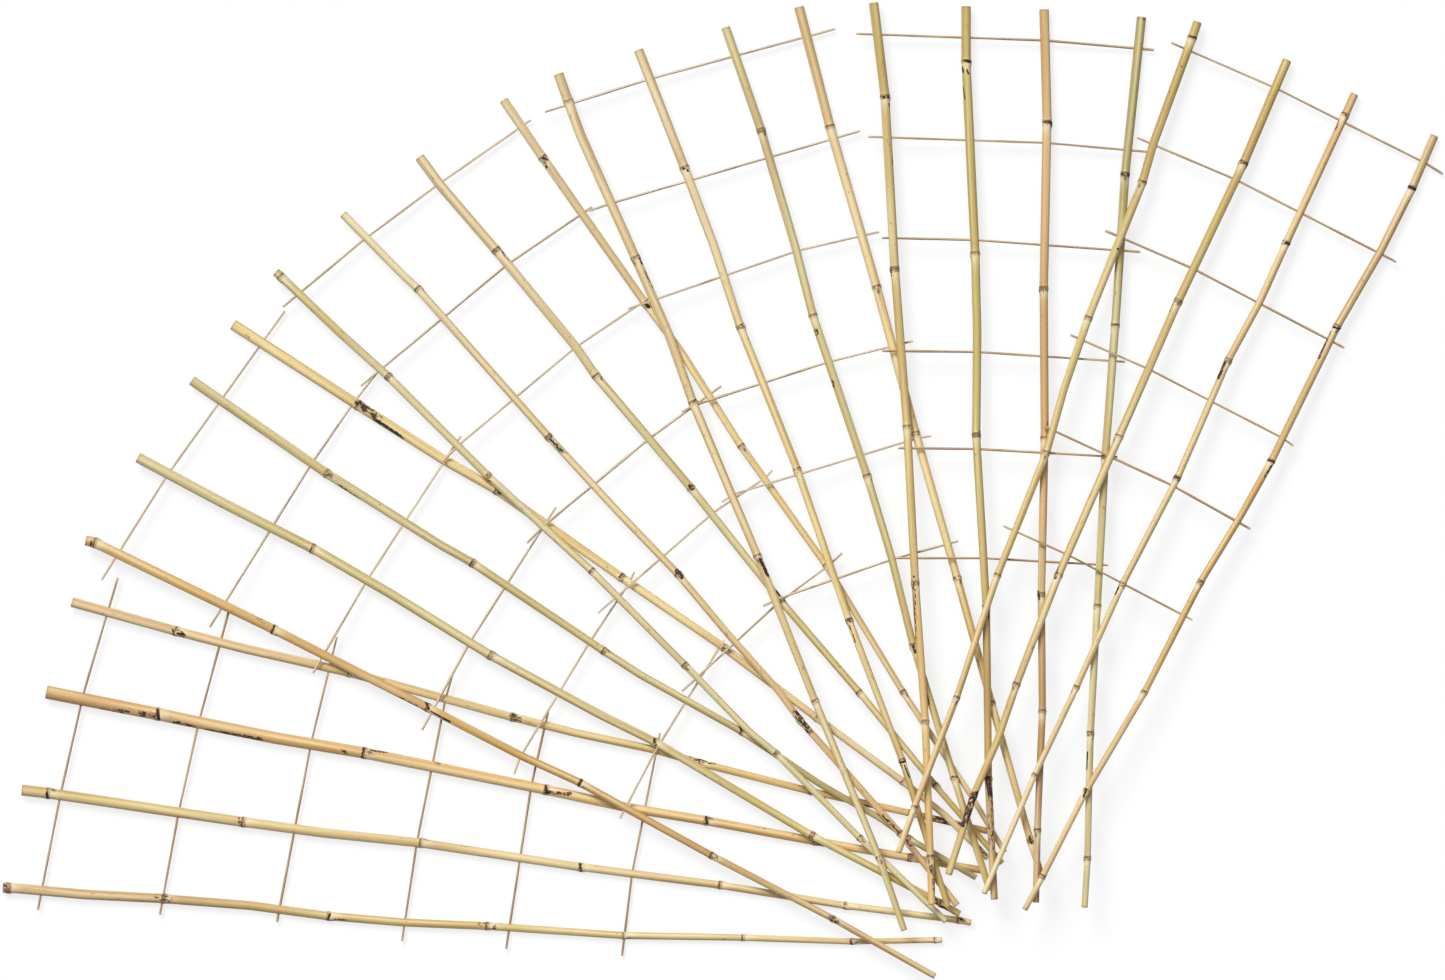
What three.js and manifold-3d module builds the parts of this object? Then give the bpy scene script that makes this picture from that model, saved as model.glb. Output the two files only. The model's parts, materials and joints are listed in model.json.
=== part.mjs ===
// A set of six bamboo fan trellises, lying loose on a flat floor, each partly on the ones before.
// Every trellis is four tapered canes that spread like a fan, threaded on six thin split rods
// that pass through holes drilled in the canes. The canes' thick butts point outwards and their
// thin feet bunch together, where the trellises are stacked on each other.
// Units are millimetres and +Z is up. The origin is on the floor under the middle of the set.

import * as THREE from 'three';
import { mergeVertices } from 'three/addons/utils/BufferGeometryUtils.js';
import Module from 'manifold-3d';

const wasm = await Module();
wasm.setup();

// Driving dimensions.
const SET_WIDTH = 1440;
const CANE_DIAMETER = 10;
const KNOT_RISE = 0.7;
const KNOT_LENGTH = 9;
const ROD_DIAMETER = 2.8;
const HOLE_CLEARANCE = 0.3;
const HOLE_OVERRUN = 6;
const RESTING_CLEARANCE = 0.3;

// How finely the round pieces are faceted, and how exactly a trellis is settled on its supports.
const CANE_SIDES = 8;
const ROD_SIDES = 6;
const SETTLING_SHARE = 0.001;

// Places are in pixels of a view from straight above, x to the right and y down, and the set is
// SET_WIDTH_PIXELS wide in it. A point marked KNOT is one of a cane's joints, where it bends and
// swells; the others are bends. A cane runs from its butt to its foot. A rod's points are its two
// ends and the bends between them.
const SET_WIDTH_PIXELS = 1440;
const MM_PER_PIXEL = SET_WIDTH / SET_WIDTH_PIXELS;
const KNOT = 'knot';

// The trellises from the lowest to the topmost. The shares are of CANE_DIAMETER.
const TRELLISES = [
  {
    canes: [
      {
        colour: 0xcfae76,
        buttShare: 1,
        footShare: 0.55,
        pixels: [[3, 887.5], [6.5, 887.5, KNOT], [85, 894.5], [163, 898.5, KNOT], [250, 905.5],
          [328, 916, KNOT], [404, 922.5], [487, 926, KNOT], [624, 935.5, KNOT],
          [743, 937.5, KNOT], [852, 941.5, KNOT], [935, 940, KNOT], [942, 940]],
      },
      {
        colour: 0xcfc186,
        buttShare: 1.1,
        footShare: 0.65,
        pixels: [[22, 790], [48, 793, KNOT], [243, 822, KNOT], [325, 833], [421, 843, KNOT],
          [580, 867, KNOT], [720, 885, KNOT], [845, 905.5, KNOT], [958, 920, KNOT], [971, 922.5]],
      },
      {
        colour: 0xdcb685,
        buttShare: 1.35,
        footShare: 0.75,
        pixels: [[46.5, 692], [158, 714, KNOT], [275, 738], [365, 753, KNOT], [545, 789.5, KNOT],
          [630, 808], [705, 820.5, KNOT], [815, 841, KNOT], [909, 857.5, KNOT], [981, 870]],
      },
      {
        colour: 0xdcc28f,
        buttShare: 1,
        footShare: 0.65,
        pixels: [[72, 602], [176, 631, KNOT], [246, 649], [349.5, 672.5, KNOT], [512, 717, KNOT],
          [578, 733.5], [656, 750], [700, 763, KNOT], [810, 791, KNOT], [910, 813, KNOT],
          [988, 831]],
      },
    ],
    rods: [
      [[118, 578], [84, 692], [60.5, 795], [38, 910]],
      [[231, 604], [199, 722], [179, 811], [160, 915]],
      [[337, 637], [311, 744], [277, 922]],
      [[452, 677], [446, 697], [417, 842], [402, 941]],
      [[548, 712], [531, 787], [506, 949]],
      [[660, 733], [632, 874], [622, 956]],
    ],
  },
  {
    canes: [
      {
        colour: 0xc79b52,
        buttShare: 1,
        footShare: 0.6,
        pixels: [[86, 540.5], [94, 542, KNOT], [273, 629, KNOT], [427, 707, KNOT], [520, 755],
          [579, 782, KNOT], [711, 855, KNOT], [832, 918, KNOT], [935, 976]],
      },
      {
        colour: 0xd3c68c,
        buttShare: 1.05,
        footShare: 0.7,
        pixels: [[138, 457.5], [220, 501.5], [313, 548.5, KNOT], [392, 594.5], [490, 655, KNOT],
          [600, 714.5], [654.5, 741.5, KNOT], [811, 835, KNOT], [941, 903, KNOT],
          [959.5, 914]],
      },
      {
        colour: 0xbfb87c,
        buttShare: 1,
        footShare: 0.6,
        pixels: [[192, 380.5], [327, 473.5, KNOT], [440, 544.5], [472, 562.5, KNOT],
          [604, 651, KNOT], [640, 674.5], [742, 731.5, KNOT], [820, 784], [880, 818],
          [908, 838, KNOT], [976, 877.5]],
      },
      {
        colour: 0xe0c681,
        buttShare: 1.1,
        footShare: 0.65,
        pixels: [[233, 324.5], [358, 405, KNOT], [444, 460], [497, 490, KNOT], [621, 577, KNOT],
          [724, 647.5, KNOT], [817, 718, KNOT], [903, 781.5, KNOT], [945, 815], [988, 858]],
      },
    ],
    rods: [
      [[285, 311], [169, 473], [102, 580]],
      [[379, 370], [354, 402], [312, 463], [210, 627]],
      [[461, 436], [368, 579], [313, 673]],
      [[556, 507], [470, 642], [422, 730]],
      [[634, 572], [629, 583], [589, 643], [520, 757], [514, 774]],
      [[724, 640], [657, 748], [620, 818]],
    ],
  },
  {
    canes: [
      {
        colour: 0xcac78f,
        buttShare: 0.85,
        footShare: 0.6,
        pixels: [[276, 272], [281, 276.5, KNOT], [340, 333], [388, 376, KNOT], [488, 476, KNOT],
          [592, 571, KNOT], [685, 665, KNOT], [750, 732], [776, 753, KNOT], [860, 838, KNOT],
          [946, 921]],
      },
      {
        colour: 0xddbb91,
        buttShare: 0.8,
        footShare: 0.65,
        pixels: [[343, 214], [400, 272], [418, 289, KNOT], [548, 436, KNOT], [620, 514],
          [678, 574, KNOT], [728, 634], [778, 690], [800, 720, KNOT], [900, 833, KNOT],
          [957, 905]],
      },
      {
        colour: 0xcfba79,
        buttShare: 1,
        footShare: 0.6,
        pixels: [[419.5, 157], [440, 185], [496, 250, KNOT], [576, 347], [596, 376, KNOT],
          [691, 488, KNOT], [780, 600, KNOT], [859, 692, KNOT], [935, 785, KNOT], [1002, 863]],
      },
      {
        colour: 0xdcc48d,
        buttShare: 0.9,
        footShare: 0.55,
        pixels: [[503.5, 100], [543, 158, KNOT], [645, 303, KNOT], [680, 350], [741, 446, KNOT],
          [826, 565, KNOT], [903, 692, KNOT], [972, 797], [1004.5, 852]],
      },
    ],
    rods: [
      [[283, 307], [365, 239], [439, 184], [531, 120]],
      [[361, 386], [508, 264], [592, 207]],
      [[443, 461], [460, 444], [576, 347], [655, 294]],
      [[527, 543], [545, 525], [650, 438], [721, 386]],
      [[598, 613], [714, 512], [768, 476], [772, 470]],
      [[682, 691], [779, 602], [828, 566], [842, 553]],
    ],
  },
  {
    canes: [
      {
        colour: 0xd5bc87,
        buttShare: 1,
        footShare: 0.65,
        pixels: [[558.5, 74], [568.5, 102, KNOT], [580.5, 135], [635.5, 258, KNOT], [669, 335],
          [693, 403, KNOT], [757.5, 556, KNOT], [815, 701, KNOT], [879, 857, KNOT], [904, 930]],
      },
      {
        colour: 0xe1c592,
        buttShare: 0.95,
        footShare: 0.6,
        pixels: [[638.5, 50], [684.5, 168, KNOT], [714, 246], [740, 326, KNOT], [797, 469, KNOT],
          [849, 620, KNOT], [902, 760, KNOT], [948, 907]],
      },
      {
        colour: 0xccc184,
        buttShare: 0.9,
        footShare: 0.7,
        pixels: [[725.5, 27.5], [761, 130, KNOT], [795.5, 248], [813, 316, KNOT], [867, 476, KNOT],
          [891.5, 558], [913, 645, KNOT], [954, 778, KNOT], [989.5, 890]],
      },
      {
        colour: 0xdcc88f,
        buttShare: 1,
        footShare: 0.7,
        pixels: [[799, 7], [830, 127, KNOT], [876.5, 287, KNOT], [915.5, 433, KNOT],
          [957, 578, KNOT], [991, 702, KNOT], [1030, 840, KNOT], [1042, 878]],
      },
    ],
    rods: [
      [[545, 112], [650, 79], [835, 29]],
      [[589, 211], [611, 203.5], [860, 131]],
      [[628, 309], [797, 251], [879, 232]],
      [[682, 412], [695, 405], [828, 362], [913, 341]],
      [[722, 502], [734, 494], [918, 438], [931, 436]],
      [[763, 606], [780, 598], [893, 559], [958, 541]],
    ],
  },
  {
    canes: [
      {
        colour: 0xc6aa6e,
        buttShare: 0.95,
        footShare: 0.7,
        pixels: [[873.5, 3], [885, 97, KNOT], [894.5, 268, KNOT], [907, 427, KNOT], [915, 583, KNOT],
          [925, 721, KNOT], [930, 856, KNOT], [931.5, 904]],
      },
      {
        colour: 0xc3b26e,
        buttShare: 0.95,
        footShare: 0.7,
        pixels: [[966, 6.5], [966, 62, KNOT], [975, 254, KNOT], [977, 330], [976, 435, KNOT],
          [986, 606, KNOT], [988, 778, KNOT], [994, 899]],
      },
      {
        colour: 0xcd9f69,
        buttShare: 0.95,
        footShare: 0.65,
        pixels: [[1044, 9.5], [1047, 122, KNOT], [1043.5, 288, KNOT], [1044.5, 438, KNOT],
          [1041, 594, KNOT], [1042, 711, KNOT], [1037, 830, KNOT], [1035.5, 902]],
      },
      {
        colour: 0xbdb37a,
        buttShare: 0.95,
        footShare: 0.65,
        pixels: [[1141.5, 17], [1125, 174, KNOT], [1115, 326, KNOT], [1105, 456, KNOT],
          [1097, 606, KNOT], [1090, 733, KNOT], [1087, 858, KNOT], [1084, 907]],
      },
    ],
    rods: [
      [[856, 34], [1044, 40.5], [1154, 50]],
      [[868, 137], [1046, 143], [1148, 152]],
      [[882, 238], [974, 240], [1140, 252]],
      [[882, 351], [976, 352], [1125, 362]],
      [[898, 448], [977, 449], [1117, 457]],
      [[895, 558], [982, 558], [1108, 565]],
    ],
  },
  {
    canes: [
      {
        colour: 0xc2a762,
        buttShare: 0.9,
        footShare: 0.6,
        pixels: [[1197.5, 22], [1192, 38, KNOT], [1153, 144], [1142, 183, KNOT], [1088, 318, KNOT],
          [1064, 388], [1046, 453, KNOT], [997, 575, KNOT], [956, 698, KNOT], [914, 807, KNOT],
          [898, 852]],
      },
      {
        colour: 0xbfaa64,
        buttShare: 0.9,
        footShare: 0.7,
        pixels: [[1287, 60], [1243.5, 163, KNOT], [1178, 301, KNOT], [1118.5, 437, KNOT],
          [1058, 575, KNOT], [1016, 684, KNOT], [997, 740], [973, 795, KNOT], [948, 874]],
      },
      {
        colour: 0xcfa167,
        buttShare: 0.8,
        footShare: 0.55,
        pixels: [[1354.5, 94], [1345, 115, KNOT], [1286, 243, KNOT], [1260, 301],
          [1228, 360, KNOT], [1177, 478, KNOT], [1122, 584, KNOT], [1076, 687, KNOT],
          [1034, 775, KNOT], [983.5, 893]],
      },
      {
        colour: 0xbc925f,
        buttShare: 0.85,
        footShare: 0.6,
        pixels: [[1434.5, 135.5], [1412, 188, KNOT], [1380, 252], [1337, 326, KNOT],
          [1271, 461, KNOT], [1239, 518], [1200, 582, KNOT], [1144, 692, KNOT],
          [1086, 790, KNOT], [1042, 876, KNOT], [1024, 909]],
      },
    ],
    rods: [
      [[1171, 43], [1275, 88], [1425, 163], [1443, 174]],
      [[1137, 138], [1236, 180], [1396, 262]],
      [[1105, 231], [1193, 269], [1344, 348]],
      [[1070, 335], [1148, 369], [1282, 438], [1293, 446]],
      [[1043, 426], [1171, 485], [1250, 529]],
      [[1003, 526], [1068, 555], [1192, 620]],
    ],
  },
];

const CANE_LETTERS = ['a', 'b', 'c', 'd'];
const WOOD = { roughness: 0.6, metalness: 0 };
const ROD_MATERIAL = new THREE.MeshStandardMaterial({ color: 0xc7a27a, ...WOOD });

// A path in plan: its points, how far along it each one lies, and its length.
function measuredPath(points) {
  const distances = [0];
  for (let i = 1; i < points.length; i += 1) {
    distances.push(distances[i - 1] + points[i].distanceTo(points[i - 1]));
  }
  return { points, distances, length: distances.at(-1) };
}

function pathFromPixels(pixels) {
  return measuredPath(pixels.map(([x, y]) => new THREE.Vector2(x, -y).multiplyScalar(MM_PER_PIXEL)));
}

// The place at a distance along a path. Past either end the path carries straight on.
function placeAlong(path, distance) {
  let next = 1;
  while (next < path.points.length - 1 && path.distances[next] < distance) {
    next += 1;
  }
  const start = path.distances[next - 1];
  const along = (distance - start) / (path.distances[next] - start);
  return path.points[next - 1].clone().lerp(path.points[next], along);
}

// The direction of a path at a distance, evened out over the length of a knot.
function headingAlong(path, distance) {
  const behind = placeAlong(path, distance - KNOT_LENGTH / 2);
  return placeAlong(path, distance + KNOT_LENGTH / 2).sub(behind).normalize();
}

// A cane's radius at each station from butt to foot: a steady taper with a ring at every knot.
function caneStations(cane, path) {
  const buttRadius = CANE_DIAMETER * cane.buttShare / 2;
  const footRadius = CANE_DIAMETER * cane.footShare / 2;
  const station = (distance, rise = 0) => {
    const radius = THREE.MathUtils.lerp(buttRadius, footRadius, distance / path.length) + rise;
    return { distance, radius };
  };
  const inner = cane.pixels.flatMap(([, , mark], i) => {
    const distance = path.distances[i];
    if (mark !== KNOT) {
      return [station(distance)];
    }
    const half = KNOT_LENGTH / 2;
    return [station(distance - half), station(distance, KNOT_RISE), station(distance + half)];
  });
  const kept = inner.filter(({ distance }) => distance > 0 && distance < path.length);
  kept.sort((one, other) => one.distance - other.distance);
  return [station(0), ...kept, station(path.length)];
}

// A rod's stations: one radius from end to end, with an overrun past both ends for a cutter.
function rodStations(path, radius, overrun = 0) {
  return [
    { distance: -overrun, radius },
    ...path.distances.slice(1, -1).map((distance) => ({ distance, radius })),
    { distance: path.length + overrun, radius },
  ];
}

// A solid turned on a lathe with its axis straight, then bent so that the axis follows a path in
// the plane z = 0. Its stations give the outline, which is closed by a flat end at either side.
function bentLathe(path, stations, sides) {
  const outline = [
    new THREE.Vector2(0, stations[0].distance),
    ...stations.map(({ distance, radius }) => new THREE.Vector2(radius, distance)),
    new THREE.Vector2(0, stations.at(-1).distance),
  ];
  const geometry = new THREE.LatheGeometry(outline, sides);
  const position = geometry.attributes.position;
  for (let i = 0; i < position.count; i += 1) {
    const side = position.getX(i);
    const distance = position.getY(i);
    const height = position.getZ(i);
    const centre = placeAlong(path, distance);
    const heading = headingAlong(path, distance);
    position.setXYZ(i, centre.x + heading.y * side, centre.y - heading.x * side, height);
  }
  return geometry;
}

// A closed solid from a geometry's faces, leaving out those that shrink to a line on the axis.
function toManifold(geometry) {
  const bare = geometry.clone();
  bare.deleteAttribute('normal');
  bare.deleteAttribute('uv');
  const merged = mergeVertices(bare);
  const corners = merged.index.array;
  const faces = [];
  for (let i = 0; i < corners.length; i += 3) {
    const [a, b, c] = corners.slice(i, i + 3);
    if (a !== b && b !== c && c !== a) {
      faces.push(a, b, c);
    }
  }
  return new wasm.Manifold(new wasm.Mesh({
    numProp: 3,
    vertProperties: new Float32Array(merged.attributes.position.array),
    triVerts: new Uint32Array(faces),
  }));
}

function fromManifold(solid) {
  const mesh = solid.getMesh();
  const geometry = new THREE.BufferGeometry();
  geometry.setAttribute('position', new THREE.BufferAttribute(mesh.vertProperties, 3));
  geometry.setIndex(new THREE.BufferAttribute(mesh.triVerts, 1));
  geometry.computeVertexNormals();
  return geometry;
}

// The height at a place in plan of a plane that isn't upright.
function heightOn(plane, { x, y }) {
  return -(plane.normal.x * x + plane.normal.y * y + plane.constant) / plane.normal.z;
}

// The straight stretches of a cane or rod between its stations, in plan.
function stretchesOf({ path, stations }) {
  return stations.slice(1).map((station, i) => ({
    start: placeAlong(path, stations[i].distance),
    end: placeAlong(path, station.distance),
    startRadius: stations[i].radius,
    endRadius: station.radius,
  }));
}

// Where two stretches may come closest in plan, as shares along each: where they cross, and at
// each end of either, set against the other.
function closestShares(upper, lower) {
  const upperRun = upper.end.clone().sub(upper.start);
  const lowerRun = lower.end.clone().sub(lower.start);
  const offset = lower.start.clone().sub(upper.start);
  const shareOn = (start, run, place) => {
    const share = place.clone().sub(start).dot(run) / run.lengthSq();
    return THREE.MathUtils.clamp(share, 0, 1);
  };
  const shares = [
    [0, shareOn(lower.start, lowerRun, upper.start)],
    [1, shareOn(lower.start, lowerRun, upper.end)],
    [shareOn(upper.start, upperRun, lower.start), 0],
    [shareOn(upper.start, upperRun, lower.end), 1],
  ];
  const turn = upperRun.cross(lowerRun);
  const crossing = [offset.cross(lowerRun) / turn, offset.cross(upperRun) / turn];
  if (crossing.every((share) => share >= 0 && share <= 1)) {
    shares.push(crossing);
  }
  return shares;
}

// The places where a settled stretch holds up another one, each at the height that the middle
// line of the upper one needs there.
function supportsBetween(upper, lower) {
  const supports = [];
  for (const [upperShare, lowerShare] of closestShares(upper, lower)) {
    const above = upper.start.clone().lerp(upper.end, upperShare);
    const below = lower.start.clone().lerp(lower.end, lowerShare);
    const upperRadius = THREE.MathUtils.lerp(upper.startRadius, upper.endRadius, upperShare);
    const lowerRadius = THREE.MathUtils.lerp(lower.startRadius, lower.endRadius, lowerShare);
    const reach = upperRadius + lowerRadius + RESTING_CLEARANCE;
    const apart = above.distanceTo(below);
    if (apart < reach) {
      const height = heightOn(lower.plane, below) + Math.sqrt(reach ** 2 - apart ** 2);
      supports.push(new THREE.Vector3(above.x, above.y, height));
    }
  }
  return supports;
}

// The places where the floor holds up a stretch: its two ends.
function supportsFromFloor({ start, end, startRadius, endRadius }) {
  return [
    new THREE.Vector3(start.x, start.y, startRadius),
    new THREE.Vector3(end.x, end.y, endRadius),
  ];
}

// The middle of a trellis's weight in plan.
function centreOfWeight(stretches) {
  const centre = new THREE.Vector2();
  let weight = 0;
  for (const { start, end, startRadius, endRadius } of stretches) {
    const share = start.distanceTo(end) * (startRadius + endRadius) ** 2;
    centre.addScaledVector(start.clone().add(end), share / 2);
    weight += share;
  }
  return centre.divideScalar(weight);
}

// How well three legs hold up a centre: the least share of the weight that one of them bears.
function leastShare(legs, centre) {
  const corners = legs.map(({ x, y }) => new THREE.Vector3(x, y, 0));
  const shares = new THREE.Vector3();
  THREE.Triangle.getBarycoord(new THREE.Vector3(centre.x, centre.y, 0), ...corners, shares);
  return Math.min(...shares.toArray());
}

// The plane in which a trellis comes to rest: it leans on three supports round its centre of
// weight and sinks into none. From three first legs, the support that it sinks into deepest takes
// the place of the leg that is then no longer needed under the centre, until none is left.
function restingPlane(supports, centre, firstLegs) {
  let legs = firstLegs;
  let plane;
  let deepest;
  const sunk = (support) => support.z - heightOn(plane, support);
  do {
    plane = new THREE.Plane().setFromCoplanarPoints(...legs);
    deepest = supports.reduce((worst, support) => (sunk(support) > sunk(worst) ? support : worst));
    const swaps = legs.map((_, i) => legs.map((leg, j) => (i === j ? deepest : leg)));
    swaps.sort((one, other) => leastShare(other, centre) - leastShare(one, centre));
    [legs] = swaps;
  } while (sunk(deepest) > SETTLING_SHARE * RESTING_CLEARANCE);
  return plane.normal.z > 0 ? plane : plane.negate();
}

// Settles a trellis on the floor and on the stretches already lying there, and gives the plane
// that its canes' middle lines come to lie in.
function settle(canes, rods, lying) {
  const butt = (cane) => supportsFromFloor(stretchesOf(cane)[0])[0];
  const foot = (cane) => supportsFromFloor(stretchesOf(cane).at(-1))[1];
  const stretches = [...canes, ...rods].flatMap(stretchesOf);
  const supports = [
    ...stretches.flatMap(supportsFromFloor),
    ...stretches.flatMap((upper) => lying.flatMap((lower) => supportsBetween(upper, lower))),
  ];
  const firstLegs = [butt(canes[0]), butt(canes.at(-1)), foot(canes[1])];
  const plane = restingPlane(supports, centreOfWeight(stretches), firstLegs);
  lying.push(...stretches.map((stretch) => ({ ...stretch, plane })));
  return plane;
}

// A path moved from plan into the flat of a trellis that lies in a plane.
function pathInTrellis(trellis, plane, path) {
  return measuredPath(path.points.map((point) => {
    const place = new THREE.Vector3(point.x, point.y, heightOn(plane, point));
    const { x, y } = trellis.worldToLocal(place);
    return new THREE.Vector2(x, y);
  }));
}

// A named mesh whose own origin is at the start of its path.
function placedMesh(name, geometry, path, material) {
  const [{ x, y }] = path.points;
  const mesh = new THREE.Mesh(geometry.translate(-x, -y, 0), material);
  mesh.name = name;
  mesh.position.set(x, y, 0);
  return mesh;
}

// One trellis, flat in its own plane and laid down in the plane that it has settled in.
function buildTrellis(name, { canes, rods }, lying) {
  const canePaths = canes.map(({ pixels }) => pathFromPixels(pixels));
  const rodPaths = rods.map(pathFromPixels);
  const plane = settle(
    canePaths.map((path, i) => ({ path, stations: caneStations(canes[i], path) })),
    rodPaths.map((path) => ({ path, stations: rodStations(path, ROD_DIAMETER / 2) })),
    lying,
  );

  const trellis = new THREE.Group();
  const [corner] = canePaths[0].points;
  trellis.position.set(corner.x, corner.y, heightOn(plane, corner));
  trellis.quaternion.setFromUnitVectors(new THREE.Vector3(0, 0, 1), plane.normal);
  trellis.updateMatrixWorld();

  const flatRods = rodPaths.map((path) => pathInTrellis(trellis, plane, path));
  const holeRadius = ROD_DIAMETER / 2 + HOLE_CLEARANCE;
  const holes = flatRods.map((path) => (
    toManifold(bentLathe(path, rodStations(path, holeRadius, HOLE_OVERRUN), ROD_SIDES))
  ));
  canes.forEach((cane, i) => {
    const path = pathInTrellis(trellis, plane, canePaths[i]);
    const blank = toManifold(bentLathe(path, caneStations(cane, path), CANE_SIDES));
    const drilled = holes.reduce((solid, hole) => solid.subtract(hole), blank);
    const material = new THREE.MeshStandardMaterial({ color: cane.colour, ...WOOD });
    const caneName = `${name}_cane_${CANE_LETTERS[i]}`;
    trellis.add(placedMesh(caneName, fromManifold(drilled), path, material));
  });
  flatRods.forEach((path, i) => {
    const rod = toManifold(bentLathe(path, rodStations(path, ROD_DIAMETER / 2), ROD_SIDES));
    trellis.add(placedMesh(`${name}_rod_${i + 1}`, fromManifold(rod), path, ROD_MATERIAL));
  });
  return trellis;
}

const set = new THREE.Group();
const lying = [];
TRELLISES.forEach((trellis, i) => set.add(buildTrellis(`trellis_${i + 1}`, trellis, lying)));

const bounds = new THREE.Box3().setFromObject(set, true);
const middle = bounds.getCenter(new THREE.Vector3());
set.position.set(-middle.x, -middle.y, -bounds.min.z);

export default set;
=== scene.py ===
# %% [markdown]
# # A set of six bamboo fan trellises
# A fan trellis is four bamboo canes spread like the ribs of a fan. Thin rods, split off a thick
# bamboo stem, run through holes drilled in the canes and hold the fan open. Six such trellises
# lie in a loose, overlapping row. The solid parts come ready made and fix where everything is.
# The looks are made here: knots, cut ends, drilled holes, bark and its stains, and one stroke of
# painted shadow between two canes.

# %% Load the solid parts
import json
import math

import bpy
import numpy as np
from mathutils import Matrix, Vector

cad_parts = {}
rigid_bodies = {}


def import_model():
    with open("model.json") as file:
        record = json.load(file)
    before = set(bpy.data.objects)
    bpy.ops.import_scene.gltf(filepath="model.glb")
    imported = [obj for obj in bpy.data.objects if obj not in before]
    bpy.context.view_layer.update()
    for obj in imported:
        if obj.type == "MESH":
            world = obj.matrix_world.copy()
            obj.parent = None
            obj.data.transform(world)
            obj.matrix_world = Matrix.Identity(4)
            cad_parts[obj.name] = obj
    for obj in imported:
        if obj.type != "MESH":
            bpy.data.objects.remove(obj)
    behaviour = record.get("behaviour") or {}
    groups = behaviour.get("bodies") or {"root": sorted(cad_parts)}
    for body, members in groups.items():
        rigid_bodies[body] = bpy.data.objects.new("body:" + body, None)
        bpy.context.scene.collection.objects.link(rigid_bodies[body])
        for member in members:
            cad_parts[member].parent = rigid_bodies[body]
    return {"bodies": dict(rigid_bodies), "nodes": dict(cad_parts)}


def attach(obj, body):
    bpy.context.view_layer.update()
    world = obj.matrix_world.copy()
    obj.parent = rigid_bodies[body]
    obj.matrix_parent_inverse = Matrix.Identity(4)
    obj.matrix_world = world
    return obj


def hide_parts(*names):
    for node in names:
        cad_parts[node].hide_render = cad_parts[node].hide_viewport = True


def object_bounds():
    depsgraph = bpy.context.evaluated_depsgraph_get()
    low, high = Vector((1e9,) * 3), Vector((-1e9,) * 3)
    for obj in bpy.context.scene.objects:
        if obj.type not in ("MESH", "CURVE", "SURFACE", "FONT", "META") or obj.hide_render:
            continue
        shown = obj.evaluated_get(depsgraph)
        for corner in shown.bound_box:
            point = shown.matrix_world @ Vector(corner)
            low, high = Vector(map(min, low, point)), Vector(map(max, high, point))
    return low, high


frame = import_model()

SOLID_BOX = [list(corner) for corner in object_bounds()]
BODIES = sorted(frame["bodies"])
LETTERS = "abcd"
ROD_NUMBERS = range(1, 7)
MM = 0.001
print(len(BODIES), "trellises,", len(frame["nodes"]), "solid pieces")

# %% [markdown]
# ## Where the middle line of a cane runs
# A cane is a long, slightly crooked cone. Its solid is an eight-sided one, so its own middle line
# and thickness can be measured: it is cut across at every millimetre, and the highest and the
# lowest point of each cut have the middle line halfway between them. High and low are taken
# square to the flat of the trellis, because the drilled holes never reach those two points. The
# cuts stop just short of the ends, and the line is carried on straight to them.

# %% The flat of a trellis
def points_of(mesh):
    """The corners of a mesh, as rows of x, y and z in metres."""
    corners = np.empty(len(mesh.vertices) * 3, np.float32)
    mesh.vertices.foreach_get("co", corners)
    return corners.reshape(-1, 3).astype(float)


def corners_of(node):
    """The corners of a solid."""
    return points_of(frame["nodes"][node].data)


def main_directions(points):
    """The directions in which points spread most, next most and least, from their covariance."""
    _, directions = np.linalg.eigh(np.cov(points.T))
    return directions[:, ::-1].T


def flat_of(body):
    """The upward direction square to the flat that all the pieces of a trellis lie in."""
    nodes = [name for name in frame["nodes"] if name.startswith(body)]
    normal = main_directions(np.vstack([corners_of(name) for name in nodes]))[2]
    return normal * np.sign(normal[2])


UP = {body: flat_of(body) for body in BODIES}
for body, up in UP.items():
    print(body, "leans", round(math.degrees(math.acos(up[2])), 2), "degrees")

# %% Cuts across a long solid
CUT_STEP = 1 * MM
END_MARGIN = 4 * MM
END_FACE = 2 * MM
HEADING_CUTS = 10


def middle_line(node, up):
    """The middle line and radius of a long solid, from cuts across it.

    Every edge that a cut crosses gives a point, by proportion along the edge. The middle is
    halfway between the highest and the lowest point, and the radius is half their distance.
    """
    corners = corners_of(node)
    centre = corners.mean(0)
    axis = main_directions(corners)[0]
    axis = axis - up * (axis @ up)
    axis /= np.linalg.norm(axis)
    faces = corners.reshape(-1, 3, 3)
    starts = faces.reshape(-1, 3)
    ends = np.roll(faces, -1, axis=1).reshape(-1, 3)
    start_at, end_at = (starts - centre) @ axis, (ends - centre) @ axis
    cuts = np.arange(start_at.min() + END_MARGIN, start_at.max() - END_MARGIN, CUT_STEP)
    with np.errstate(divide="ignore", invalid="ignore"):
        share = (cuts[:, None] - start_at) / (end_at - start_at)
    crossed = (share >= 0) & (share <= 1)
    share = np.where(crossed, share, 0)
    heights = (starts @ up) + share * ((ends - starts) @ up)
    row = np.arange(len(cuts))
    sides = []
    for pick, blank in ((np.argmax, -np.inf), (np.argmin, np.inf)):
        edge = pick(np.where(crossed, heights, blank), axis=1)
        sides.append(starts[edge] + share[row, edge][:, None] * (ends - starts)[edge])
    top, bottom = sides
    line, radii = (top + bottom) / 2, ((top - bottom) @ up) / 2
    line = np.vstack([out_to_end(line, corners), line, out_to_end(line[::-1], corners)[::-1]])
    more = (len(line) - len(radii)) // 2
    return line, np.pad(radii, (more, len(line) - len(radii) - more), "edge")


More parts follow.
